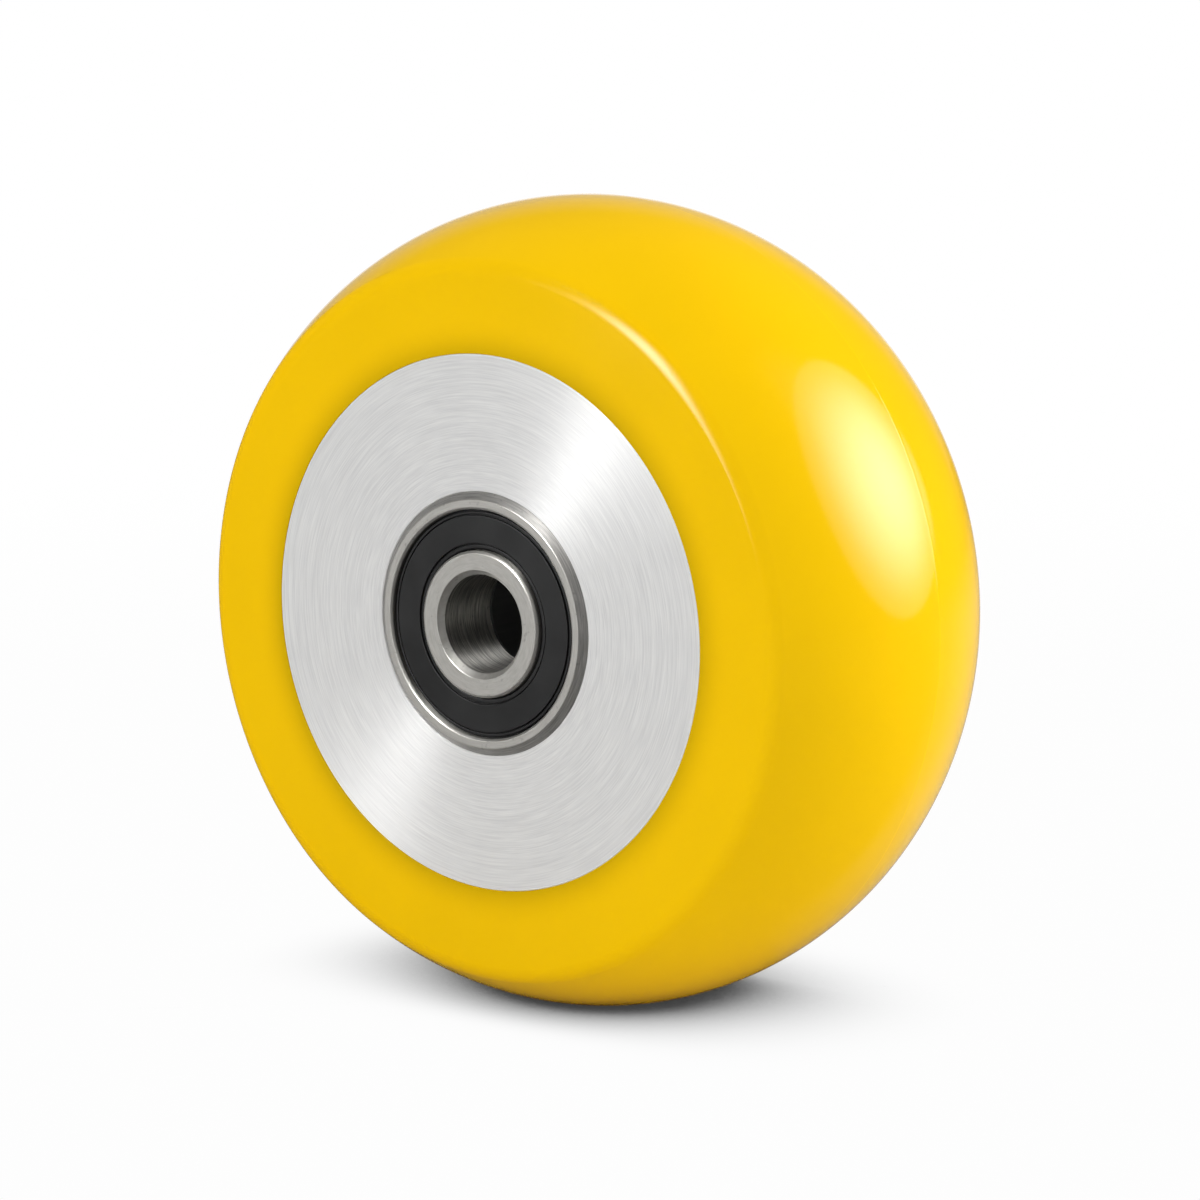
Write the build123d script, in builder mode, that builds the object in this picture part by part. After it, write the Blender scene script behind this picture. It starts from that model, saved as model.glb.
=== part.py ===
"""A polyurethane load wheel on an aluminium hub, turning on two sealed ball bearings.

All lengths are millimetres. The origin is the middle of the wheel, the axle runs along Y and Z is up.
The front bearing is the one at -Y. Turned pieces are half sections revolved about the Y axis: in each
section X is the radius, and Y runs along the axle from the middle of that piece.
"""

import os
from math import sqrt

from build123d import *

# Wheel body
tread_diameter = 100.0
face_width = 42.0
crown_radius = 36.0
shoulder_rounding = 2.5
hub_diameter = 65.0
hub_rim_chamfer = 0.15
seat_edge_chamfer = 0.2
bearing_stop_height = 2.0

# Ball bearings
bearing_bore = 12.0
bearing_diameter = 32.0
bearing_width = 10.0
bearing_stand_out = 0.65
inner_ring_lead = 0.1
ball_diameter = 5.953
ball_count = 7
ball_clearance = 0.04
raceway_relief = 0.119
raceway_depth = 0.95

# Corners of the bearing rings
outer_corner_radial = 0.95
outer_corner_axial = 0.8
outer_corner_rounding = 0.2
mouth_rounding = 0.35
inner_ring_rounding = 0.4
bore_chamfer_radial = 0.6
bore_chamfer_axial = 0.75
bore_chamfer_rounding = 0.15

# Rubber seals and the grooves they snap into
seal_seat_depth = 0.83
seal_undercut = 0.4
seal_groove_start = 1.0
seal_groove_width = 0.9
seal_snap_clearance = 0.02
seal_recess = 0.4
seal_cage_clearance = 0.35
seal_rim_gap = 0.28
seal_rim_width = 0.32
seal_rim_drop = 0.1
seal_line_width = 0.16
seal_line_depth = 0.35
seal_lip_clearance = 0.08
seal_lip_width = 0.6
seal_lip_drop = 0.15
seal_lip_overhang = 0.35
seal_lip_rounding = 0.25
seal_edge_rounding = 0.07

# Riveted steel cages
cage_sheet = 0.5
cage_band = 2.2
pocket_clearance = 0.08
rivet_shank_diameter = 0.8
rivet_head_diameter = 1.5
rivet_head_height = 0.3
rivet_head_rounding = 0.2

# Spacer tube between the two inner rings
spacer_axle_clearance = 0.5
spacer_wall = 1.75
spacer_chamfer = 0.3

# Radii that follow from the sizes above
tread_radius = tread_diameter / 2
hub_radius = hub_diameter / 2
bearing_radius = bearing_diameter / 2
bore_radius = bearing_bore / 2
ball_radius = ball_diameter / 2
pitch_radius = (bore_radius + bearing_radius) / 2
pocket_radius = ball_radius + pocket_clearance
pocket_outside = pocket_radius + cage_sheet
raceway_radius = ball_radius + raceway_relief
outer_raceway = pitch_radius + ball_radius + ball_clearance
inner_raceway = pitch_radius - ball_radius - ball_clearance
outer_land = outer_raceway - raceway_depth
inner_land = inner_raceway + raceway_depth
mouth_radius = outer_land + seal_seat_depth
groove_radius = mouth_radius + seal_undercut

# Places along the axle, measured from the middle of the wheel
half_width = face_width / 2
half_bearing = bearing_width / 2
outer_ring_face = half_width + bearing_stand_out
inner_ring_face = outer_ring_face + inner_ring_lead
seat_floor = outer_ring_face - bearing_width
spacer_end = inner_ring_face - bearing_width
outer_ring_middle = outer_ring_face - half_bearing
inner_ring_middle = inner_ring_face - half_bearing
ball_plane = (outer_ring_middle + inner_ring_middle) / 2


def section_plane(place, outward=1):
    """The plane a section is drawn on: it holds the axle, and its Y points outward from that place."""
    return Plane(origin=(0, place, 0), x_dir=(1, 0, 0), z_dir=(0, 0, outward))


def cross_plane(place, outward=1):
    """A plane square to the axle, facing outward."""
    return Plane(origin=(0, place, 0), x_dir=(1, 0, 0), z_dir=(0, outward, 0))


def corners(section, radius, height):
    """The vertices of a section at this radius and this height above or below its middle."""
    near = 0.001
    return section.vertices().filter_by(
        lambda v: abs(v.X - radius) < near and abs(abs(v.Y) - height) < near
    )


def export(piece, name):
    """Labels a finished piece and writes it to its own file."""
    piece.part.label = name
    export_step(piece.part, f"parts/{name}.step")


def make_tread():
    """The moulded tread: a crowned running surface between two flat sides, bonded round the hub."""
    edge_radius = tread_radius - crown_radius + sqrt(crown_radius**2 - half_width**2)
    with BuildPart() as tread:
        with BuildSketch(section_plane(0)) as section:
            with BuildLine():
                Polyline((hub_radius, 0), (hub_radius, half_width), (edge_radius, half_width))
                mirror(about=Plane.XZ)
                ThreePointArc((edge_radius, half_width), (tread_radius, 0), (edge_radius, -half_width))
            make_face()
            fillet(corners(section, edge_radius, half_width), shoulder_rounding)
        revolve(axis=Axis.Y)
    return tread


def make_hub():
    """The turned hub: a bearing seat in each end, and a narrower bore between them that stops both."""
    stop_radius = bearing_radius - bearing_stop_height
    with BuildPart() as hub:
        with BuildSketch(section_plane(0)) as section:
            with BuildLine():
                Polyline(
                    (stop_radius, 0),
                    (stop_radius, seat_floor),
                    (bearing_radius, seat_floor),
                    (bearing_radius, half_width),
                    (hub_radius, half_width),
                    (hub_radius, 0),
                )
                mirror(about=Plane.XZ)
            make_face()
            chamfer(corners(section, bearing_radius, half_width), seat_edge_chamfer)
            chamfer(corners(section, hub_radius, half_width), hub_rim_chamfer)
        revolve(axis=Axis.Y)
    return hub


def make_spacer():
    """The tube that keeps the inner rings apart, so that the axle nut clamps rings and tube together."""
    inside = bore_radius + spacer_axle_clearance
    outside = inside + spacer_wall
    with BuildPart() as spacer:
        with BuildSketch(section_plane(0)) as section:
            with BuildLine():
                Polyline((inside, 0), (inside, spacer_end), (outside, spacer_end), (outside, 0))
                mirror(about=Plane.XZ)
            make_face()
            chamfer(corners(section, inside, spacer_end), spacer_chamfer)
            chamfer(corners(section, outside, spacer_end), spacer_chamfer)
        revolve(axis=Axis.Y)
    return spacer


def make_outer_ring(end):
    """An outer ring, pressed into its seat: ball raceway, two lands and a snap groove for each seal."""
    groove_start = half_bearing - seal_groove_start
    groove_end = groove_start - seal_groove_width
    raceway_half = sqrt(raceway_radius**2 - (raceway_radius - raceway_depth) ** 2)
    with BuildPart() as ring:
        with BuildSketch(section_plane(end * outer_ring_middle)) as section:
            with BuildLine():
                Polyline(
                    (outer_land, raceway_half),
                    (outer_land, groove_end),
                    (groove_radius, groove_end),
                    (groove_radius, groove_start),
                    (mouth_radius, groove_start),
                    (mouth_radius, half_bearing),
                    (bearing_radius - outer_corner_radial, half_bearing),
                    (bearing_radius, half_bearing - outer_corner_axial),
                    (bearing_radius, 0),
                )
                mirror(about=Plane.XZ)
                ThreePointArc((outer_land, raceway_half), (outer_raceway, 0), (outer_land, -raceway_half))
            make_face()
            fillet(corners(section, mouth_radius, half_bearing), mouth_rounding)
            fillet(
                corners(section, bearing_radius - outer_corner_radial, half_bearing)
                + corners(section, bearing_radius, half_bearing - outer_corner_axial),
                outer_corner_rounding,
            )
        revolve(axis=Axis.Y)
    return ring


def make_inner_ring(end):
    """An inner ring: ball raceway between two lands, rounded shoulders and a chamfered bore."""
    raceway_half = sqrt(raceway_radius**2 - (raceway_radius - raceway_depth) ** 2)
    with BuildPart() as ring:
        with BuildSketch(section_plane(end * inner_ring_middle)) as section:
            with BuildLine():
                Polyline(
                    (inner_land, raceway_half),
                    (inner_land, half_bearing),
                    (bore_radius + bore_chamfer_radial, half_bearing),
                    (bore_radius, half_bearing - bore_chamfer_axial),
                    (bore_radius, 0),
                )
                mirror(about=Plane.XZ)
                ThreePointArc((inner_land, raceway_half), (inner_raceway, 0), (inner_land, -raceway_half))
            make_face()
            fillet(corners(section, inner_land, half_bearing), inner_ring_rounding)
            fillet(
                corners(section, bore_radius + bore_chamfer_radial, half_bearing),
                bore_chamfer_rounding,
            )
        revolve(axis=Axis.Y)
    return ring


def make_seal(end, outward):
    """A moulded rubber seal: a bead in the outer ring's groove, a rim, a flat web and an inner lip."""
    face = half_bearing - seal_recess
    web_back = inner_ring_lead / 2 + pocket_outside + seal_cage_clearance
    line_floor = face - seal_line_depth
    rim_top = face - seal_rim_drop
    lip_top = face - seal_lip_drop
    lip_foot = web_back - seal_lip_overhang
    bead_top = half_bearing - seal_groove_start - seal_snap_clearance
    bead_foot = bead_top - seal_groove_width + 2 * seal_snap_clearance
    lip_inside = inner_land + seal_lip_clearance
    lip_outside = lip_inside + seal_lip_width
    web_inside = lip_outside + seal_line_width
    rim_outside = mouth_radius - seal_rim_gap
    rim_inside = rim_outside - seal_rim_width
    web_outside = rim_inside - seal_line_width
    bead_radius = groove_radius - seal_snap_clearance
    with BuildPart() as seal:
        with BuildSketch(section_plane(end * outer_ring_middle, outward)) as section:
            with BuildLine():
                Polyline(
                    (lip_inside, lip_foot),
                    (lip_inside, lip_top),
                    (lip_outside, lip_top),
                    (lip_outside, line_floor),
                    (web_inside, line_floor),
                    (web_inside, face),
                    (web_outside, face),
                    (web_outside, line_floor),
                    (rim_inside, line_floor),
                    (rim_inside, rim_top),
                    (rim_outside, rim_top),
                    (rim_outside, bead_top),
                    (bead_radius, bead_top),
                    (bead_radius, bead_foot),
                    (web_outside, bead_foot),
                    (web_outside, web_back),
                    (web_inside, web_back),
                    (web_inside, lip_foot),
                    close=True,
                )
            make_face()
            fillet(corners(section, lip_inside, lip_top), seal_lip_rounding)
            fillet(
                corners(section, lip_outside, lip_top)
                + corners(section, web_inside, face)
                + corners(section, web_outside, face)
                + corners(section, rim_inside, rim_top)
                + corners(section, rim_outside, rim_top),
                seal_edge_rounding,
            )
        revolve(axis=Axis.Y)
    return seal


def make_cage_half(end, outward):
    """Half of a pressed cage: a flat ribbon that swells into a pocket over one side of every ball."""
    joint = cross_plane(end * ball_plane, outward)
    with BuildPart(joint) as cage:
        with PolarLocations(pitch_radius, ball_count):
            Sphere(pocket_outside)
        with BuildSketch(joint) as ribbon:
            Circle(pitch_radius + cage_band / 2)
            Circle(pitch_radius - cage_band / 2, mode=Mode.SUBTRACT)
        extrude(amount=pocket_outside, mode=Mode.INTERSECT)
        extrude(ribbon.sketch, amount=cage_sheet)
        with PolarLocations(pitch_radius, ball_count):
            Sphere(pocket_radius, mode=Mode.SUBTRACT)
        with PolarLocations(pitch_radius, ball_count, start_angle=180 / ball_count):
            Cylinder(rivet_shank_diameter / 2, 4 * cage_sheet, mode=Mode.SUBTRACT)
    return cage


def make_rivets(end):
    """The rivets that hold the two halves of a cage together, one between each ball and the next."""
    with BuildPart() as rivets:
        with BuildSketch(cross_plane(end * ball_plane)):
            with PolarLocations(pitch_radius, ball_count, start_angle=180 / ball_count):
                Circle(rivet_shank_diameter / 2)
        extrude(amount=cage_sheet, both=True)
        for outward in (-1, 1):
            with BuildSketch(cross_plane(end * ball_plane, outward).offset(cage_sheet)):
                with PolarLocations(pitch_radius, ball_count, start_angle=180 / ball_count):
                    Circle(rivet_head_diameter / 2)
            extrude(amount=rivet_head_height)
        rims = rivets.edges().filter_by(GeomType.CIRCLE).group_by(Axis.Y)
        fillet(rims[0] + rims[-1], rivet_head_rounding)
    return rivets


def make_ball(end, turn):
    """A steel ball, between the raceways at this many degrees round the bearing."""
    with BuildPart(cross_plane(end * ball_plane, -1)) as ball:
        with PolarLocations(pitch_radius, 1, start_angle=turn):
            Sphere(ball_radius)
    return ball


os.makedirs("parts", exist_ok=True)

export(make_tread(), "tread")
export(make_hub(), "hub_core")
export(make_spacer(), "spacer_tube")

for end_name, end in (("front", -1), ("rear", 1)):
    export(make_outer_ring(end), f"{end_name}_outer_ring")
    export(make_inner_ring(end), f"{end_name}_inner_ring")
    export(make_seal(end, end), f"{end_name}_outboard_seal")
    export(make_seal(end, -end), f"{end_name}_inboard_seal")
    export(make_cage_half(end, end), f"{end_name}_cage_outboard_half")
    export(make_cage_half(end, -end), f"{end_name}_cage_inboard_half")
    export(make_rivets(end), f"{end_name}_cage_rivets")
    for number in range(ball_count):
        export(make_ball(end, number * 360 / ball_count), f"{end_name}_ball_{number + 1}")
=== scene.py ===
"""A yellow polyurethane load wheel on a turned aluminium hub, running on two sealed ball bearings.

The origin is the middle of the wheel, the axle runs along Y and Z is up. The front bearing is at -Y. All
lengths are metres, and each outline point is (radius from the axle, place along the axle).
"""

import bpy
import numpy as np
from mathutils import Matrix, Quaternion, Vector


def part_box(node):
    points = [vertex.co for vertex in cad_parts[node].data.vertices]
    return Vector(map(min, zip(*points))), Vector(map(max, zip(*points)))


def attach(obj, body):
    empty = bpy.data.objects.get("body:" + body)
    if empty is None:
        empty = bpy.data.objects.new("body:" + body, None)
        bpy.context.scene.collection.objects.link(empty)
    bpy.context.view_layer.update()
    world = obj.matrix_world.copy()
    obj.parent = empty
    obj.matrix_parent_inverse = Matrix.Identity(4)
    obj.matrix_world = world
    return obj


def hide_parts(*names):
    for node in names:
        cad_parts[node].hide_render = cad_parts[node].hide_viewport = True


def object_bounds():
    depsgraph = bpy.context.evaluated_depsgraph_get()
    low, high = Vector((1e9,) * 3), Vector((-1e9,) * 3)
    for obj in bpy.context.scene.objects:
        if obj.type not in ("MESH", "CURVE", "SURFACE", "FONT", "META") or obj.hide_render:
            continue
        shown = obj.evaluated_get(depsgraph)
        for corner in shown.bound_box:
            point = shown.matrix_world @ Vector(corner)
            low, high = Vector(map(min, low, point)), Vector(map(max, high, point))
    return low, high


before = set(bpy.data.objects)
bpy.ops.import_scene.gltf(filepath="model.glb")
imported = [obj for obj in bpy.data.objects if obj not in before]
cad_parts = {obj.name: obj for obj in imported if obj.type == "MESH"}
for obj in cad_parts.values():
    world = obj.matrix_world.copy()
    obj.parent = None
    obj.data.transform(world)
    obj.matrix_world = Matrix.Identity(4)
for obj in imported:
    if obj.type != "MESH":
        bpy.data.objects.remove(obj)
cad_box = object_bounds()

# Hub core
# One piece of aluminium bar, turned all over. A bearing seat is bored in each end, and the narrower bore
# between the seats stops both bearings. The tool leaves fine rings, and burrs at the front seat's edge.
mm = 0.001
hub_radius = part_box("hub_core")[1].x
half_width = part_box("hub_core")[1].y
seat_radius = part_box("front_outer_ring")[1].x
seat_floor = -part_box("front_outer_ring")[1].y
stop_height = 2.0 * mm
seat_edge_chamfer = 0.1 * mm
hub_rim_chamfer = 0.15 * mm
hub_steps = 600
tool_rounding = 0.04 * mm
rounding_points = 6
rounding_support = 0.06 * mm
rounding_support_limit = 0.45
burr_angles = (118.0, 176.0, 187.0, 196.0, 203.0, 243.0)
burr_heights = (0.09 * mm, 0.05 * mm, 0.07 * mm, 0.05 * mm, 0.06 * mm, 0.12 * mm)
burr_width = 1.1
bump_depth = 0.01 * mm
aluminium_dark = (0.67, 0.67, 0.67, 1.0)
aluminium_light = (0.81, 0.81, 0.8, 1.0)
aluminium_painted_rim_highlight = (0.88, 0.94, 1.0, 1.0)
aluminium_painted_highlight_start = hub_radius - 0.24 * mm
aluminium_painted_highlight_full = hub_radius - 0.16 * mm
aluminium_mark_span = (0.44, 0.84)
aluminium_coarse_share = 0.15
aluminium_cloud_share = 0.12
aluminium_roughness = (0.34, 0.28)


def rounded(corners):
    """A closed outline from corners (radius, place, rounding).

    Each corner gives way to the circle that touches both its sides, which starts at rounding / tan(half the
    corner's angle) from it. A support point just outside each end of the arc keeps the flat beside it flat,
    no further from the corner than rounding_support_limit x the side's length.
    """
    outline = []
    for before, corner, after in zip(corners[-1:] + corners[:-1], corners, corners[1:] + corners[:1]):
        place, rounding = np.array(corner[:2]), corner[2]
        arms = np.array([before[:2], after[:2]]) - place
        lengths = np.linalg.norm(arms, axis=1, keepdims=True)
        arms = arms / lengths
        half = np.arccos(np.clip(arms[0] @ arms[1], -1, 1)) / 2
        reach = rounding / np.tan(half)
        middle = place + arms.sum(0) / np.linalg.norm(arms.sum(0)) * rounding / np.sin(half)
        spokes = place + arms * reach - middle
        share = np.linspace(0, 1, rounding_points)[:, None]
        turn = np.pi - 2 * half
        arc = (spokes[0] * np.sin((1 - share) * turn) + spokes[1] * np.sin(share * turn)) / np.sin(turn)
        ends = place + arms * np.minimum(reach + rounding_support, lengths * rounding_support_limit)
        outline += [ends[:1], middle + arc, ends[1:]]
    return np.concatenate(outline)


def turned(name, outline, steps, shape=None):
    """A solid turned about the axle: an outline point goes round to (radius cos a, place, radius sin a).

    shape, if given, takes the grid of radii, places and angles and returns changed radii and places. The
    first UV direction runs along the outline and the second round the axle.
    """
    following = np.roll(outline, -1, axis=0)
    if np.sum(outline[:, 0] * following[:, 1] - following[:, 0] * outline[:, 1]) < 0:
        outline = outline[::-1]
        following = np.roll(outline, -1, axis=0)
    rows = len(outline)
    angle = np.arange(steps) * 2 * np.pi / steps
    radius, place, angle = np.broadcast_arrays(outline[:, :1], outline[:, 1:], angle[None, :])
    if shape:
        radius, place = shape(radius, place, angle)
    points = np.stack([radius * np.cos(angle), place, radius * np.sin(angle)], axis=-1)

    row, step = np.meshgrid(np.arange(rows), np.arange(steps), indexing="ij")
    row_sides = np.stack([row, row + 1, row + 1, row], axis=-1)
    step_sides = np.stack([step, step, step + 1, step + 1], axis=-1)
    corner_points = (row_sides % rows) * steps + step_sides % steps
    along = np.concatenate([[0], np.cumsum(np.linalg.norm(following - outline, axis=1))])
    corner_uvs = np.stack([along[row_sides] / along[-1], step_sides / steps], axis=-1)

    mesh = bpy.data.meshes.new(name)
    mesh.vertices.add(rows * steps)
    mesh.vertices.foreach_set("co", points.ravel())
    mesh.loops.add(4 * rows * steps)
    mesh.loops.foreach_set("vertex_index", corner_points.ravel().astype(np.int32))
    mesh.polygons.add(rows * steps)
    mesh.polygons.foreach_set("loop_start", np.arange(0, 4 * rows * steps, 4, dtype=np.int32))
    mesh.update(calc_edges=True)
    mesh.uv_layers.new(name="turned").data.foreach_set("uv", corner_uvs.ravel())
    mesh.shade_smooth()
    piece = bpy.data.objects.new(name, mesh)
    bpy.context.scene.collection.objects.link(piece)
    return piece


def plug(tree, taker, inputs):
    """Gives a node's sockets their values, or links to them where a value is another node's socket."""
    for name, value in inputs.items():
        if isinstance(value, bpy.types.NodeSocket):
            tree.links.new(value, taker.inputs[name])
        else:
            taker.inputs[name].default_value = value


def node(tree, kind, inputs=None, **settings):
    """One shader node: settings are its properties, and inputs are what its sockets take."""
    made = tree.nodes.new("ShaderNode" + kind)
    for name, value in settings.items():
        setattr(made, name, value)
    plug(tree, made, inputs or {})
    return made


def maths(tree, operation, *values, **settings):
    """The result of one operation on numbers."""
    return node(tree, "Math", dict(enumerate(values)), operation=operation, **settings).outputs[0]


def vector_maths(tree, operation, *vectors):
    """The result of one operation on vectors: a number for a length or a dot product, and else a vector."""
    made = node(tree, "VectorMath", dict(enumerate(vectors)), operation=operation)
    return made.outputs["Value" if operation in ("LENGTH", "DOT_PRODUCT") else "Vector"]


def scaled(tree, vector, factor):
    """A vector or colour times a number."""
    return node(tree, "VectorMath", {0: vector, "Scale": factor}, operation="SCALE").outputs[0]


def axis_part(tree, vector, axis):
    """A vector's part along X, Y or Z."""
    return node(tree, "SeparateXYZ", {0: vector}).outputs[axis]


def map_range(tree, value, span, result, **settings):
    """A number that goes from result's first to its second, and no further, as value crosses span."""
    inputs = {
        "Value": value,
        "From Min": span[0],
        "From Max": span[1],
        "To Min": result[0],
        "To Max": result[1],
    }
    return node(tree, "MapRange", inputs, **settings).outputs["Result"]


def mix_numbers(tree, share, first, second):
    """The number that lies share of the way from first to second."""
    return node(tree, "Mix", {0: share, 2: first, 3: second}, data_type="FLOAT").outputs[0]


def mix_colours(tree, share, first, second):
    """The colour that lies share of the way from first to second."""
    return node(tree, "Mix", {0: share, 6: first, 7: second}, data_type="RGBA").outputs[2]


def noise(tree, where, scale, detail, roughness=0.5):
    """Noise round 0.5 with lumps about 1 / scale across, and detail more layers of ever finer ones."""
    inputs = {"Vector": where, "Scale": scale, "Detail": detail, "Roughness": roughness}
    return node(tree, "TexNoise", inputs).outputs["Fac"]


def from_axle(tree):
    """The object coordinates, how far they are from the axle, and the unit vector away from it."""
    where = node(tree, "TexCoord").outputs["Object"]
    across = vector_maths(tree, "MULTIPLY", where, (1, 0, 1))
    return where, vector_maths(tree, "LENGTH", across), vector_maths(tree, "NORMALIZE", across)


def tool_rings(tree, spacing, arc_share, detail=3.0):
    """Fine rings left by the tool: noise that changes fast outward and along the axle, and slowly round it.

    The noise is read at ((radius + place) / spacing, arc_share x outward X, arc_share x outward Z).
    """
    where, radius, outward = from_axle(tree)
    way = maths(tree, "ADD", radius, axis_part(tree, where, "Y"))
    way = maths(tree, "MULTIPLY", way, 1 / spacing)
    round_axle = scaled(tree, outward, arc_share)
    sides = {"X": way, "Y": axis_part(tree, round_axle, "X"), "Z": axis_part(tree, round_axle, "Z")}
    return noise(tree, node(tree, "CombineXYZ", sides).outputs[0], scale=1.0, detail=detail, roughness=0.6)


def bumps(tree, height, strength):
    """The normal of a surface with bumps, bump_depth high where height is 1, shown at this strength."""
    return node(tree, "Bump", {"Strength": strength, "Distance": bump_depth, "Height": height}).outputs[0]


def round_axle_tangent(tree):
    """The way along which the tool ran, from the second direction of the turned UVs' grid."""
    return node(tree, "Tangent", direction_type="UV_MAP", uv_map="turned").outputs[0]


def new_material(name):
    """A new material, with its node tree and its shader."""
    material = bpy.data.materials.new(name)
    material.use_nodes = True
    return material, material.node_tree, material.node_tree.nodes["Principled BSDF"]


def turned_aluminium():
    """Bright turned aluminium: the rings stretch every reflection into a fan that points at the axle.

    It scatters most of its light, so that beside the fans it is as pale as metal in a white studio is.
    """
    material, tree, shader = new_material("turned_aluminium")
    where, radius, _ = from_axle(tree)
    fine = tool_rings(tree, spacing=0.15 * mm, arc_share=4.5, detail=2.0)
    coarse = tool_rings(tree, spacing=0.5 * mm, arc_share=5.0, detail=2.0)
    cloud = noise(tree, where, scale=260.0, detail=3.0)
    marks = maths(tree, "MULTIPLY_ADD", coarse, aluminium_coarse_share, fine)
    marks = maths(tree, "MULTIPLY_ADD", cloud, aluminium_cloud_share, marks)
    pale = map_range(tree, marks, aluminium_mark_span, (0, 1))
    colour = mix_colours(tree, pale, aluminium_dark, aluminium_light)
    # Painted highlight: a thin bluish-white line all round the rim's chamfer.
    rim = map_range(tree, radius, (aluminium_painted_highlight_start, aluminium_painted_highlight_full), (0, 1))
    plug(tree, shader, {
        "Base Color": mix_colours(tree, rim, colour, aluminium_painted_rim_highlight),
        "Roughness": map_range(tree, marks, aluminium_mark_span, aluminium_roughness),
        "Metallic": 0.06,
        "Anisotropic": 1.0,
        "Tangent": round_axle_tangent(tree),
        "Normal": bumps(tree, fine, strength=0.15),
    })
    return material


def mirrored(half):
    """A half's corners, then the same on the other side, in the order that closes the outline."""
    return half + [(radius, -place, rounding) for radius, place, rounding in reversed(half)]


def hub_outline():
    """Half the hub from the stop between the seats out to one end and its rim, mirrored."""
    stop_radius = seat_radius - stop_height
    return rounded(mirrored([
        (stop_radius, seat_floor, tool_rounding),
        (seat_radius, seat_floor, tool_rounding),
        (seat_radius, half_width - seat_edge_chamfer, tool_rounding),
        (seat_radius + seat_edge_chamfer, half_width, tool_rounding),
        (hub_radius - hub_rim_chamfer, half_width, tool_rounding),
        (hub_radius, half_width - hub_rim_chamfer, tool_rounding),
    ]))


def seat_burrs(radius, place, angle):
    """Burrs at the front seat's edge: each is a bell round its angle that pulls the lip towards the axle.

    The lip is a bell too, round the chamfer in radius and place. Angles and burr_width are degrees.
    """
    lip = np.exp(-(((radius - seat_radius) / seat_edge_chamfer) ** 2))
    lip = lip * np.exp(-(((place + half_width) / seat_edge_chamfer) ** 2))
    for burr_angle, height in zip(burr_angles, burr_heights):
        away = (np.degrees(angle) - burr_angle) / burr_width
        radius = radius - height * lip * np.exp(-(away**2))
    return radius, place


hub = turned("turned_hub", hub_outline(), hub_steps, seat_burrs)
hub.data.materials.append(turned_aluminium())
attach(hub, "wheel")
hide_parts("hub_core")

# Tread
# Polyurethane cast round the hub in a two-part mould and bonded to it. The running surface is crowned, with
# rounded shoulders, and the halves of the mould leave a fine line near its middle.
tread_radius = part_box("tread")[1].z
crown_radius = 36.0 * mm
shoulder_rounding = 2.5 * mm
tread_steps = 480
crown_points = 44
shoulder_points = 24
flat_points = 8
flat_margin = 0.1 * mm
parting_place = 2.7 * mm
parting_height = 0.012 * mm
parting_width = 0.16 * mm
parting_reach = 2.5
parting_points = 13
parting_core = 0.06 * mm
parting_painted_highlight = 1.07
yellow = (0.98, 0.59, 0.0, 1.0)
hub_painted_shade_yellow = (0.68, 0.42, 0.0, 1.0)
hub_painted_shade_depth = 4.5 * mm
hub_painted_shade_power = 2.2
noise_span = (0.3, 0.7)
tread_cloud = (0.97, 1.0)
tread_grain_span = (0.2, 0.8)
tread_roughness = (0.075, 0.11)
tread_ior = 1.36


def tread_outline():
    """Crown and shoulders as one run of turning angle t, from 0 on the front side to pi on the back.

    A point is middle + rounding x (sin t, -cos t). The shoulder circle touches the side from inside and the
    crown circle from inside, so its middle lies crown radius - rounding from the crown's middle. The
    parting line is a bell on the crown. Flat sides and the straight seat on the hub close the outline.
    """
    crown_middle = tread_radius - crown_radius
    shoulder_place = half_width - shoulder_rounding
    inner = crown_radius - shoulder_rounding
    shoulder_middle = crown_middle + np.sqrt(inner**2 - shoulder_place**2)
    meet = np.arctan2(shoulder_middle - crown_middle, shoulder_place)

    shoulder = np.linspace(0, meet, shoulder_points)[:-1]
    parting = np.pi / 2 + parting_place / crown_radius
    ridge = parting + np.linspace(-1, 1, parting_points) * parting_reach * parting_width / crown_radius
    crown_front = np.linspace(meet, ridge[0], crown_points)[:-1]
    crown_back = np.linspace(ridge[-1], np.pi - meet, crown_points)[1:]
    turn = np.concatenate([shoulder, crown_front, ridge, crown_back, np.pi - shoulder[::-1]])
    on_crown = (turn >= meet) & (turn <= np.pi - meet)
    middle = np.where(on_crown, crown_middle, shoulder_middle)
    side = np.where(on_crown, 0.0, np.where(turn < meet, -shoulder_place, shoulder_place))
    reach = np.where(on_crown, crown_radius, shoulder_rounding)
    radius = middle + reach * np.sin(turn)
    place = side - reach * np.cos(turn)
    radius = radius + parting_height * np.exp(-(((place - parting_place) / parting_width) ** 2)) * on_crown

    flats = np.linspace(hub_radius + tool_rounding, shoulder_middle - flat_margin, flat_points)
    flats = np.concatenate([[hub_radius], flats])
    front = np.stack([flats, np.full_like(flats, -half_width)], axis=1)
    back = np.stack([flats[::-1], np.full_like(flats, half_width)], axis=1)
    seat_places = np.linspace(half_width, -half_width, flat_points)[1:-1]
    seat = np.stack([np.full_like(seat_places, hub_radius), seat_places], axis=1)
    return np.concatenate([front, np.stack([radius, place], axis=1), back, seat])


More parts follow.
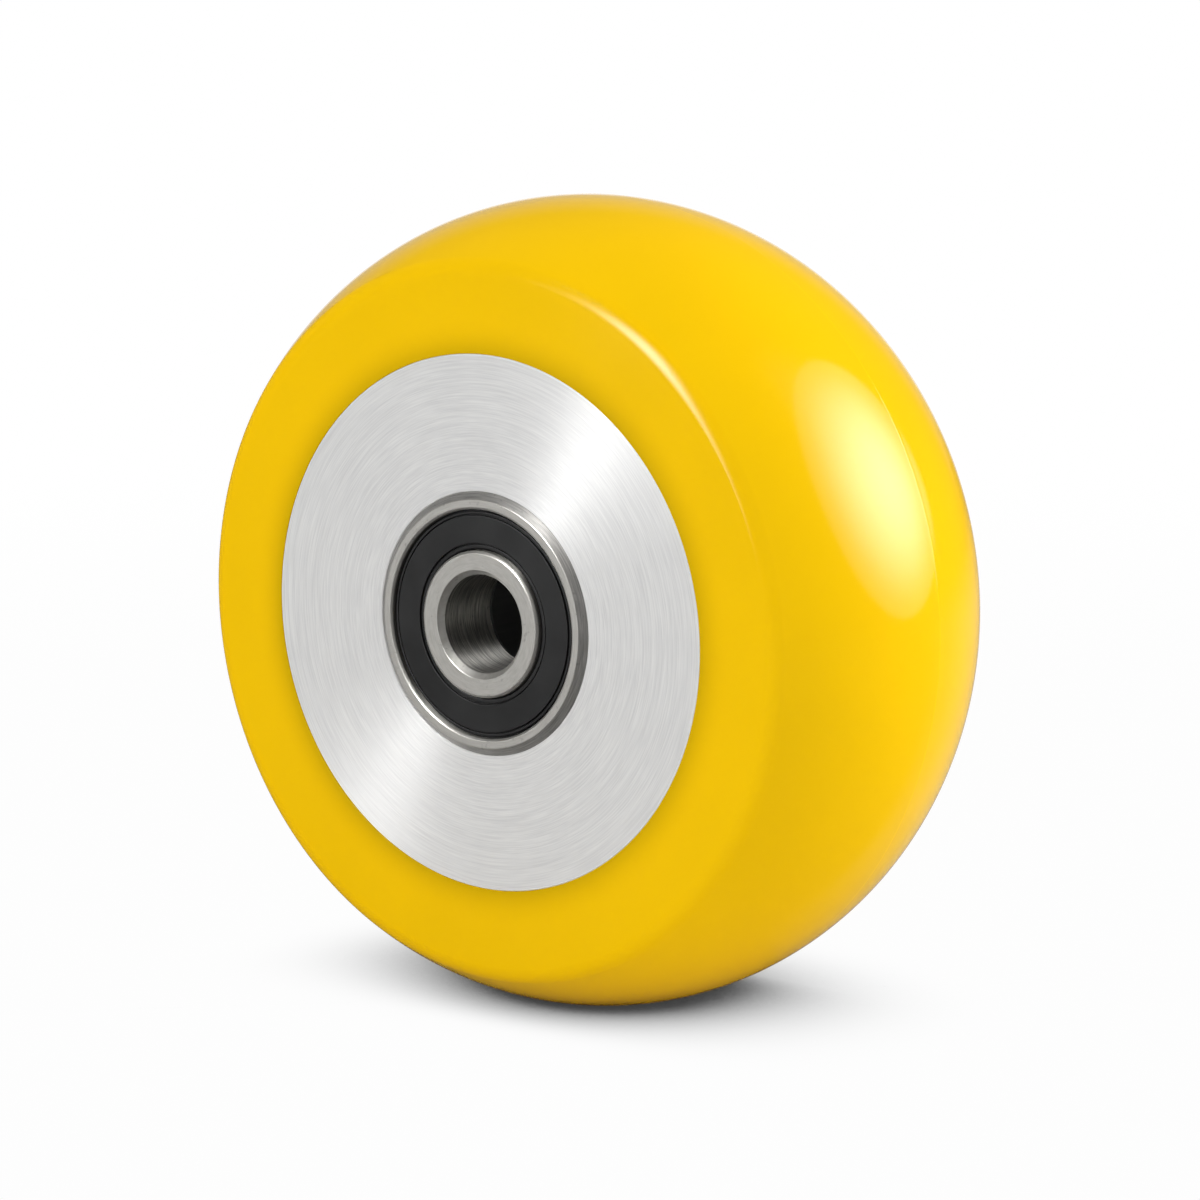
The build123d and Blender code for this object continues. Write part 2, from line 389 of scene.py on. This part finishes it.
def polyurethane():
    """Glossy cast polyurethane: clear yellow, with painted shade that turns it darker and greener next to
    the hub.

    The colour is slightly cloudy, and a painted highlight makes it a little lighter along the parting line.
    """
    material, tree, shader = new_material("polyurethane")
    where, radius, _ = from_axle(tree)
    # Painted shade: the yellow turns darker and greener towards the hub's edge.
    shade = map_range(tree, radius, (hub_radius, hub_radius + hub_painted_shade_depth), (1, 0))
    shade = maths(tree, "POWER", shade, hub_painted_shade_power)
    cloud = map_range(tree, noise(tree, where, scale=60.0, detail=2.0), noise_span, tread_cloud)
    # Painted highlight: the colour is a little lighter along the parting line.
    away = maths(tree, "ABSOLUTE", maths(tree, "SUBTRACT", axis_part(tree, where, "Y"), parting_place))
    seam_painted_highlight = map_range(tree, away, (parting_core, parting_width), (parting_painted_highlight, 1.0))
    colour = mix_colours(tree, shade, yellow, hub_painted_shade_yellow)
    grain = noise(tree, where, scale=900.0, detail=3.0)
    plug(tree, shader, {
        "Base Color": scaled(tree, colour, maths(tree, "MULTIPLY", cloud, seam_painted_highlight)),
        "Roughness": map_range(tree, grain, tread_grain_span, tread_roughness),
        "IOR": tread_ior,
        "Normal": bumps(tree, grain, strength=0.02),
    })
    return material


tread = turned("cast_tread", tread_outline(), tread_steps)
tread.data.materials.append(polyurethane())
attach(tread, "wheel")
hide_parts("tread")

# Bearing rings
# Hardened steel, ground on the faces and in the bore, with rounded corners. The outer ring is pressed into
# the hub and stands a little proud of it, and the inner ring stays with the axle.
outer_face = -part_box("front_outer_ring")[0].y
inner_face = -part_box("front_inner_ring")[0].y
bearing_width = outer_face - seat_floor
bore_radius = 6.0 * mm
ball_radius = 2.9765 * mm
ball_clearance = 0.04 * mm
raceway_relief = 0.119 * mm
raceway_depth = 0.95 * mm
raceway_points = 17
pitch_radius = (bore_radius + seat_radius) / 2
raceway_radius = ball_radius + raceway_relief
outer_raceway = pitch_radius + ball_radius + ball_clearance
inner_raceway = pitch_radius - ball_radius - ball_clearance
outer_land = outer_raceway - raceway_depth
inner_land = inner_raceway + raceway_depth
mouth_depth = 0.83 * mm
mouth_radius = outer_land + mouth_depth
groove_depth = 0.4 * mm
groove_radius = mouth_radius + groove_depth
groove_start = 1.0 * mm
groove_width = 0.9 * mm
corner_radial = 0.95 * mm
corner_axial = 0.8 * mm
corner_rounding = 0.2 * mm
corner_blend = 0.12 * mm
mouth_rounding = 0.35 * mm
inner_rounding = 0.4 * mm
bore_chamfer_radial = 0.6 * mm
bore_chamfer_axial = 0.75 * mm
bore_chamfer_rounding = 0.15 * mm
outer_ring_steps = 360
inner_ring_steps = 300
steel_dark = (0.57, 0.553, 0.513, 1.0)
steel_light = (0.72, 0.706, 0.665, 1.0)
bare_dark = (0.3, 0.293, 0.28, 1.0)
bare_light = (0.6, 0.585, 0.56, 1.0)
bore_groove_span = (0.38, 0.62)
bore_shade = (0.45, 0.95)
face_shade = 0.63
pit_span = (0.64, 0.72)
pit_shade = (1.0, 0.75)
slope_tilt = (0.62, 0.85)
bore_tilt = (0.1, 0.4)
face_tilt = (0.95, 0.995)
steel_metallic = {"edge": 0.86, "bore": 1.0, "face": 0.2, "corner": 0.75}
steel_roughness = {"edge": 0.3, "slope": 0.42, "face": 0.42, "corner": 0.34}
steel_direction = {"edge": 0.8, "bore": 1.0, "face": 0.0}


def by_place(tree, masks, values):
    """A number that differs over a ring: the edge's value, covered in each mask by that place's own."""
    result = values["edge"]
    for place, mask in masks.items():
        if place in values:
            result = mix_numbers(tree, mask, result, values[place])
    return result


def ring_steel():
    """Bearing steel: satin faces, bright edges, a bore with coarser marks, and bare dark outer corners.

    How far the normal lies along the axle tells a bore, a slope, an edge and a face apart, and a corner is
    what lies further out than the outer ring's face. All of it has fine rings and a few small pits.
    """
    material, tree, shader = new_material("ring_steel")
    where, radius, _ = from_axle(tree)
    normal = node(tree, "TexCoord").outputs["Normal"]
    along_axle = maths(tree, "ABSOLUTE", axis_part(tree, normal, "Y"))
    corner_start = seat_radius - corner_radial
    masks = {
        "slope": map_range(tree, along_axle, slope_tilt, (1, 0)),
        "bore": map_range(tree, along_axle, bore_tilt, (1, 0)),
        "face": map_range(tree, along_axle, face_tilt, (0, 1)),
        "corner": map_range(tree, radius, (corner_start, corner_start + corner_blend), (0, 1)),
    }
    fine = tool_rings(tree, spacing=0.2 * mm, arc_share=5.0)
    rings = map_range(tree, fine, noise_span, (0, 1))
    ground = mix_colours(tree, rings, steel_dark, steel_light)
    bare = mix_colours(tree, rings, bare_dark, bare_light)
    grooves = tool_rings(tree, spacing=0.2 * mm, arc_share=1.2)
    coarse = map_range(tree, grooves, bore_groove_span, bore_shade)
    marks = by_place(tree, masks, {"edge": 1.0, "bore": coarse, "face": face_shade})
    stains = noise(tree, where, scale=1500.0, detail=4.0)
    marks = maths(tree, "MULTIPLY", marks, map_range(tree, stains, pit_span, pit_shade))
    plug(tree, shader, {
        "Base Color": scaled(tree, mix_colours(tree, masks["corner"], ground, bare), marks),
        "Metallic": by_place(tree, masks, steel_metallic),
        "Roughness": by_place(tree, masks, steel_roughness),
        "Anisotropic": by_place(tree, masks, steel_direction),
        "Tangent": round_axle_tangent(tree),
        "Normal": bumps(tree, fine, strength=0.08),
    })
    return material


def raceway(land, floor):
    """The ball groove from one land to the other, an arc about the middle of the ring's width.

    A point is (middle + side x raceway_radius x cos a, raceway_radius x sin a). side is 1 in the outer
    ring, whose floor lies outside its land, and -1 in the inner one.
    """
    side = np.sign(floor - land)
    middle = floor - side * raceway_radius
    half = np.arccos((land - middle) / (floor - middle))
    arc = np.linspace(-half, half, raceway_points)
    return np.stack([middle + side * raceway_radius * np.cos(arc), raceway_radius * np.sin(arc)], axis=1)


def outer_ring_outline(end):
    """Land, seal groove, mouth, face and rounded corner of the outer ring, mirrored, and the raceway."""
    half_ring = bearing_width / 2
    groove_floor = half_ring - groove_start - groove_width
    corners = rounded(mirrored([
        (outer_land, groove_floor, tool_rounding),
        (groove_radius, groove_floor, tool_rounding),
        (groove_radius, half_ring - groove_start, tool_rounding),
        (mouth_radius, half_ring - groove_start, tool_rounding),
        (mouth_radius, half_ring, mouth_rounding),
        (seat_radius - corner_radial, half_ring, corner_rounding),
        (seat_radius, half_ring - corner_axial, corner_rounding),
    ]))
    outline = np.concatenate([corners, raceway(outer_land, outer_raceway)])
    return outline + (0, end * (outer_face - half_ring))


def inner_ring_outline(end):
    """Rounded shoulder, face and chamfered bore of the inner ring, mirrored, and the raceway."""
    half_ring = bearing_width / 2
    corners = rounded(mirrored([
        (inner_land, half_ring, inner_rounding),
        (bore_radius + bore_chamfer_radial, half_ring, bore_chamfer_rounding),
        (bore_radius, half_ring - bore_chamfer_axial, tool_rounding),
    ]))
    outline = np.concatenate([corners, raceway(inner_land, inner_raceway)])
    return outline + (0, end * (inner_face - half_ring))


steel = ring_steel()
for end_name, end in (("front", -1), ("rear", 1)):
    outer_ring = turned(end_name + "_ground_outer_ring", outer_ring_outline(end), outer_ring_steps)
    inner_ring = turned(end_name + "_ground_inner_ring", inner_ring_outline(end), inner_ring_steps)
    for ring, body, stands_for in (
        (outer_ring, "wheel", end_name + "_outer_ring"),
        (inner_ring, "root", end_name + "_inner_ring"),
    ):
        ring.data.materials.append(steel)
        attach(ring, body)
        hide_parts(stands_for)

# Seals
# Nitrile rubber moulded to shape. The bead snaps into the outer ring's groove, the web closes the bearing
# and the lip runs just clear of the inner ring. The mould leaves a fine groove at each side of the web.
# The inboard seals are out of sight, so they keep their solids.
seal_recess = 0.4 * mm
seal_web = 0.6435 * mm
seal_rim_gap = 0.28 * mm
seal_rim_width = 0.32 * mm
seal_rim_drop = 0.1 * mm
seal_line_width = 0.16 * mm
seal_line_depth = 0.35 * mm
seal_lip_clearance = 0.08 * mm
seal_lip_width = 0.6 * mm
seal_lip_drop = 0.15 * mm
seal_lip_overhang = 0.35 * mm
seal_lip_rounding = 0.25 * mm
seal_edge_rounding = 0.07 * mm
seal_snap_clearance = 0.02 * mm
seal_steps = 360
seal_black = (0.01, 0.01, 0.0103, 1.0)
seal_dusty = (0.0135, 0.0135, 0.013905, 1.0)
seal_dust_span = (0.35, 0.7)
seal_roughness = (0.38, 0.46)
seal_ior = 1.43


def seal_outline(end):
    """Lip, line, web, line, rim and bead of a seal, measured from the middle of its bearing."""
    half_ring = bearing_width / 2
    face = half_ring - seal_recess
    line_floor = face - seal_line_depth
    lip_top = face - seal_lip_drop
    web_back = face - seal_web
    lip_foot = web_back - seal_lip_overhang
    rim_top = face - seal_rim_drop
    bead_top = half_ring - groove_start - seal_snap_clearance
    bead_foot = bead_top - groove_width + 2 * seal_snap_clearance
    lip_inside = inner_land + seal_lip_clearance
    lip_outside = lip_inside + seal_lip_width
    web_inside = lip_outside + seal_line_width
    rim_outside = mouth_radius - seal_rim_gap
    rim_inside = rim_outside - seal_rim_width
    web_outside = rim_inside - seal_line_width
    bead_radius = groove_radius - seal_snap_clearance
    corners = [
        (lip_inside, lip_foot, tool_rounding),
        (lip_inside, lip_top, seal_lip_rounding),
        (lip_outside, lip_top, seal_edge_rounding),
        (lip_outside, line_floor, tool_rounding),
        (web_inside, line_floor, tool_rounding),
        (web_inside, face, seal_edge_rounding),
        (web_outside, face, seal_edge_rounding),
        (web_outside, line_floor, tool_rounding),
        (rim_inside, line_floor, tool_rounding),
        (rim_inside, rim_top, seal_edge_rounding),
        (rim_outside, rim_top, seal_edge_rounding),
        (rim_outside, bead_top, tool_rounding),
        (bead_radius, bead_top, tool_rounding),
        (bead_radius, bead_foot, tool_rounding),
        (web_outside, bead_foot, tool_rounding),
        (web_outside, web_back, tool_rounding),
        (web_inside, web_back, tool_rounding),
        (web_inside, lip_foot, tool_rounding),
    ]
    return rounded(corners) * (1, end) + (0, end * (outer_face - half_ring))


def seal_rubber():
    """Black nitrile rubber with a fine, even moulded grain and a soft, slightly dusty sheen."""
    material, tree, shader = new_material("seal_rubber")
    where = node(tree, "TexCoord").outputs["Object"]
    grain = noise(tree, where, scale=5000.0, detail=2.0)
    cloud = noise(tree, where, scale=260.0, detail=3.0)
    dust = map_range(tree, cloud, seal_dust_span, (0, 1))
    plug(tree, shader, {
        "Base Color": mix_colours(tree, dust, seal_black, seal_dusty),
        "Roughness": map_range(tree, cloud, noise_span, seal_roughness),
        "IOR": seal_ior,
        "Normal": bumps(tree, grain, strength=0.1),
    })
    return material


def refinish(solid, material):
    """Gives a solid of the frame this material alone."""
    solid.data.materials.clear()
    solid.data.materials.append(material)


rubber = seal_rubber()
for end_name, end in (("front", -1), ("rear", 1)):
    seal = turned(end_name + "_moulded_seal", seal_outline(end), seal_steps)
    seal.data.materials.append(rubber)
    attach(seal, "wheel")
    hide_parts(end_name + "_outboard_seal")
    refinish(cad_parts[end_name + "_inboard_seal"], rubber)

# Balls
# Through-hardened chrome steel, ground and lapped to a mirror. Seven run in each bearing, out of sight
# behind the seals, so they keep their solids.
ball_silver = (0.74, 0.74, 0.75, 1.0)
ball_roughness = (0.05, 0.09)


def ball_steel():
    """Lapped ball steel: a mirror with the faintest lapping haze."""
    material, tree, shader = new_material("ball_steel")
    where = node(tree, "TexCoord").outputs["Object"]
    haze = noise(tree, where, scale=2500.0, detail=3.0)
    plug(tree, shader, {
        "Base Color": ball_silver,
        "Roughness": map_range(tree, haze, noise_span, ball_roughness),
        "Metallic": 1.0,
    })
    return material


lapped = ball_steel()
for name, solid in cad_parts.items():
    if "_ball_" in name:
        refinish(solid, lapped)

# Cages
# Two ribbons of low-carbon sheet pressed into half pockets, and the seven rivets that hold them together
# round the balls. They are out of sight too, and keep their solids.
sheet_dark = (0.45, 0.44, 0.42, 1.0)
sheet_light = (0.62, 0.61, 0.59, 1.0)
sheet_streaks = (300.0, 3000.0, 3000.0)
sheet_roughness = (0.3, 0.42)


def streaks(tree, changes):
    """Noise with so many changes a metre along X, Y and Z, drawn out to streaks where they are few."""
    where = node(tree, "TexCoord").outputs["Object"]
    return noise(tree, vector_maths(tree, "MULTIPLY", where, changes), scale=1.0, detail=3.0)


def cage_steel():
    """Bright pressed sheet, with the streaks of the rolling mill and a soft tumbled surface."""
    material, tree, shader = new_material("cage_steel")
    rolled = streaks(tree, sheet_streaks)
    plug(tree, shader, {
        "Base Color": mix_colours(tree, rolled, sheet_dark, sheet_light),
        "Roughness": map_range(tree, rolled, noise_span, sheet_roughness),
        "Metallic": 1.0,
    })
    return material


pressed = cage_steel()
for name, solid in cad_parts.items():
    if "_cage_" in name:
        refinish(solid, pressed)

# Spacer tube
# A cut length of drawn steel tube, chamfered at both ends. It is clamped between the two inner rings, and
# only its inside shows, in the dark behind the front ring.
spacer_end = -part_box("front_inner_ring")[1].y
spacer_inside = 6.5 * mm
spacer_outside = 8.25 * mm
spacer_chamfer = 0.3 * mm
spacer_steps = 240
tube_dark = (0.05, 0.05, 0.05, 1.0)
tube_light = (0.12, 0.12, 0.115, 1.0)
tube_streaks = (1600.0, 90.0, 1600.0)
tube_roughness = (0.45, 0.6)


def spacer_outline():
    """One chamfered end of the tube's wall, mirrored."""
    return rounded(mirrored([
        (spacer_inside, spacer_end - spacer_chamfer, tool_rounding),
        (spacer_inside + spacer_chamfer, spacer_end, tool_rounding),
        (spacer_outside - spacer_chamfer, spacer_end, tool_rounding),
        (spacer_outside, spacer_end - spacer_chamfer, tool_rounding),
    ]))


def spacer_steel():
    """Drawn tube, phosphated dark grey, with lengthwise drawing streaks."""
    material, tree, shader = new_material("spacer_steel")
    drawn = streaks(tree, tube_streaks)
    plug(tree, shader, {
        "Base Color": mix_colours(tree, drawn, tube_dark, tube_light),
        "Roughness": map_range(tree, drawn, noise_span, tube_roughness),
        "Metallic": 0.6,
    })
    return material


spacer = turned("drawn_spacer", spacer_outline(), spacer_steps)
spacer.data.materials.append(spacer_steel())
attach(spacer, "root")
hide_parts("spacer_tube")

# Floor
# A wide sheet of white studio board under the wheel, which isn't part of the object. Seen directly it is
# white but for the wheel's round, soft shadow. A reflection shows it grey, with two paler patches behind.
floor_half = 4.0
floor_white = (0.8, 0.8, 0.8, 1.0)
plain_white = (1.0, 1.0, 1.0, 1.0)
open_glow = 0.985
contact_glow = 0.05
shadow_reach = 0.22
plain_reach = 0.5
cover_distance = 0.025
cover_lean = (0.332, -0.624, 0.707)
cover_samples = 48
cover_power = 3.5
cover_most = 0.25
grey_room = 0.08
board_from = (0.035, 0.0, -0.05)
board_way = (-0.086, 0.981, -0.174)
board_edges = (0.75, 0.97)
board_shine = 0.38
board_rise = (0.0, 0.2)
board_fade = (-0.04, -0.14)
behind_way = (-0.610, 0.774, -0.169)
behind_edges = (0.935, 0.985)


def patch(tree, way, middle, edges, around, inside):
    """The number inside where the unit vector way points near middle, and around elsewhere.

    The edge of the patch runs between two cosines, edges, of the angle from middle.
    """
    return map_range(tree, vector_maths(tree, "DOT_PRODUCT", way, middle), edges, (around, inside))


def studio_board():
    """White board: it scatters light as it is, and shows as a glow that sinks with what covers it.

    The cover is looked for around cover_lean, which leans to the front, where most of the light comes from,
    and is raised to cover_power. Far out the glow fades to plain white. A reflection shows the board grey,
    like the room, but for two patches behind the wheel: a pale one, placed by its way from board_from, and
    a white one, placed by its way from the origin.
    """
    material, tree, shader = new_material("studio_board")
    tree.nodes.remove(shader)
    where = node(tree, "TexCoord").outputs["Object"]
    path = node(tree, "LightPath").outputs

    lean = node(tree, "CombineXYZ", dict(zip("XYZ", cover_lean))).outputs[0]
    search = {"Distance": cover_distance, "Normal": lean}
    clear = node(tree, "AmbientOcclusion", search, samples=cover_samples).outputs["AO"]
    cover = maths(tree, "POWER", maths(tree, "SUBTRACT", 1.0, clear), cover_power)
    glow = map_range(tree, cover, (0, cover_most), (open_glow, contact_glow))
    distance = vector_maths(tree, "LENGTH", where)
    fade = map_range(tree, distance, (shadow_reach, plain_reach), (0, 1), interpolation_type="SMOOTHSTEP")
    glow = mix_numbers(tree, fade, glow, 1.0)

    spread = vector_maths(tree, "NORMALIZE", vector_maths(tree, "SUBTRACT", where, board_from))
    pale = patch(tree, spread, board_way, board_edges, grey_room, board_shine)
    way = vector_maths(tree, "NORMALIZE", where)
    below = map_range(tree, axis_part(tree, way, "Z"), board_fade, (0, 1))
    pale = mix_numbers(tree, below, grey_room, pale)
    rise = map_range(tree, axis_part(tree, where, "Y"), board_rise, (grey_room, 1))
    white = patch(tree, way, behind_way, behind_edges, 0, 1)
    reflected = maths(tree, "MAXIMUM", maths(tree, "MINIMUM", pale, rise), white)
    glow = maths(tree, "MULTIPLY", glow, mix_numbers(tree, path["Is Camera Ray"], reflected, 1.0))

    plain = node(tree, "BsdfDiffuse", {"Color": floor_white}).outputs[0]
    shown = node(tree, "Emission", {"Color": plain_white, "Strength": glow}).outputs[0]
    seen = maths(tree, "MAXIMUM", path["Is Camera Ray"], path["Is Glossy Ray"])
    seen = maths(tree, "MAXIMUM", seen, path["Is Transmission Ray"])
    surface = node(tree, "MixShader", {0: seen, 1: plain, 2: shown}).outputs[0]
    plug(tree, tree.nodes["Material Output"], {"Surface": surface})
    return material


floor_corners = np.array([(-1, -1), (1, -1), (1, 1), (-1, 1)]) * floor_half
floor_points = np.column_stack([floor_corners, np.full(len(floor_corners), cad_box[0].z)])
floor_mesh = bpy.data.meshes.new("floor")
floor_mesh.from_pydata(floor_points.tolist(), [], [(0, 1, 2, 3)])
floor = bpy.data.objects.new("floor", floor_mesh)
bpy.context.scene.collection.objects.link(floor)
floor.data.materials.append(studio_board())

# Light
# A white studio. Two lamps show in the gloss: a long one in front to the left, and a rounder one behind to
# the right. Three wider ones and the even light of the room light the wheel unseen. Metal and gloss show
# the room grey, with a pale wall behind the wheel and white right behind it.
lamps = {
    "front_strip": {
        "round_degrees": -15.0, "above_degrees": 20.7, "distance": 0.6, "size": (0.304, 0.902),
        "lean": 28.7, "glare": 19.0, "edge": 0.024, "fade": 3.5,
    },
    "rear_oval": {
        "round_degrees": 128.5, "above_degrees": 23.3, "distance": 0.42, "size": (0.436, 0.416),
        "lean": 40.0, "glare": 12.9, "edge": 0.104, "fade": 2.0,
    },
    "front_light": {"round_degrees": -20.0, "above_degrees": 42.0, "light": 0.29},
    "right_light": {"round_degrees": 125.0, "above_degrees": 48.0, "light": 0.24},
    "rear_light": {"round_degrees": 145.0, "above_degrees": 10.0, "light": 0.56},
}
ambient = 0.65
wall_way = (-0.642, 0.766, 0.035)
wall_edges = (0.85, 1.0)
wall_shine = 0.42


def direction(round_degrees, above_degrees):
    """The unit vector (sin r cos a, -cos r cos a, sin a): r goes round from -Y to +X, a up from level."""
    around, above = np.radians(round_degrees), np.radians(above_degrees)
    return np.array([np.sin(around) * np.cos(above), -np.cos(around) * np.cos(above), np.sin(above)])


def soft_lamp(
    name, round_degrees, above_degrees, distance=1.0, size=(0.5, 0.5), lean=0.0,
    glare=0.0, light=0.0, edge=0.0, fade=2.0,
):
    """An oval lamp that faces the wheel and shines as glare x (edge + (1 - edge)(1 - d squared)^fade).

    d goes from 0 in the middle to 1 at the edge, and lean turns the oval's top to the left, seen from the
    wheel. A lamp with a glare, which is what a mirror shows of its middle, shows in the gloss alone. One
    with a light, which is how bright it makes a white sheet that faces it, doesn't show. Its light is mean
    glare x area / (pi x distance squared), and the mean of (1 - d squared)^fade is 1 / (fade + 1).
    """
    in_gloss = glare > 0
    width, height = size
    area = np.pi / 4 * width * height
    if not in_gloss:
        mean = edge + (1 - edge) / (fade + 1)
        glare = light * np.pi * distance**2 / area / mean
    lamp_data = bpy.data.lights.new(name, "AREA")
    lamp_data.shape = "ELLIPSE"
    lamp_data.size = width
    lamp_data.size_y = height
    lamp_data.energy = glare * np.pi * area
    lamp_data.use_nodes = True
    tree = lamp_data.node_tree
    spot = node(tree, "NewGeometry").outputs["Parametric"]
    off = vector_maths(tree, "SUBTRACT", spot, (0.5, 0.5, 0.0))
    off = vector_maths(tree, "MULTIPLY", off, (2.0, 2.0, 0.0))
    rest = maths(tree, "SUBTRACT", 1.0, vector_maths(tree, "DOT_PRODUCT", off, off), use_clamp=True)
    shine = map_range(tree, maths(tree, "POWER", rest, fade), (0, 1), (edge, 1))
    plug(tree, tree.nodes["Emission"], {"Strength": shine})
    lamp = bpy.data.objects.new(name, lamp_data)
    bpy.context.scene.collection.objects.link(lamp)
    lamp.location = direction(round_degrees, above_degrees) * distance
    facing = (-lamp.location).to_track_quat("-Z", "Y")
    lamp.rotation_euler = (facing @ Quaternion((0, 0, 1), np.radians(-lean))).to_euler()
    lamp.visible_camera = False
    lamp.visible_glossy = in_gloss
    lamp.visible_diffuse = not in_gloss


for name, facts in lamps.items():
    soft_lamp(name, **facts)

world = bpy.data.worlds.new("white_studio")
world.use_nodes = True
bpy.context.scene.world = world
sky = world.node_tree
sky.nodes.clear()
path = node(sky, "LightPath").outputs
look = node(sky, "TexCoord").outputs["Generated"]
wall = patch(sky, look, wall_way, wall_edges, grey_room, wall_shine)
room = maths(sky, "MAXIMUM", wall, patch(sky, look, behind_way, behind_edges, 0, 1))
reflecting = maths(sky, "MAXIMUM", path["Is Glossy Ray"], path["Is Transmission Ray"])
unseen = mix_numbers(sky, reflecting, ambient, room)
strength = mix_numbers(sky, path["Is Camera Ray"], unseen, 1.0)
background = node(sky, "Background", {"Color": plain_white, "Strength": strength}).outputs[0]
node(sky, "OutputWorld", {"Surface": background})

# Camera
# A long lens from the front right, a little above the axle, level, with no shift. Its place was worked out
# from the round edges of the wheel in the photograph.
camera_round = 38.25
camera_above = 9.75
camera_distance = 588.06 * mm
camera_right_offset = 0.978 * mm
camera_up_offset = 0.091 * mm
lens = 143.25
sensor = 36.0
nearest_seen = 0.01

camera_back = direction(camera_round, camera_above)
camera_right = direction(camera_round + 90, 0)
camera_up = np.cross(camera_back, camera_right)
camera_place = camera_back * camera_distance
camera_place = camera_place + camera_right * camera_right_offset + camera_up * camera_up_offset
camera = bpy.data.objects.new("camera", bpy.data.cameras.new("camera"))
bpy.context.scene.collection.objects.link(camera)
camera.data.lens = lens
camera.data.sensor_width = sensor
camera.data.clip_start = nearest_seen
camera.location = camera_place
camera.rotation_euler = Matrix(np.stack([camera_right, camera_up, camera_back], axis=1).tolist()).to_euler()
bpy.context.scene.camera = camera

bpy.context.scene.view_settings.view_transform = "Standard"
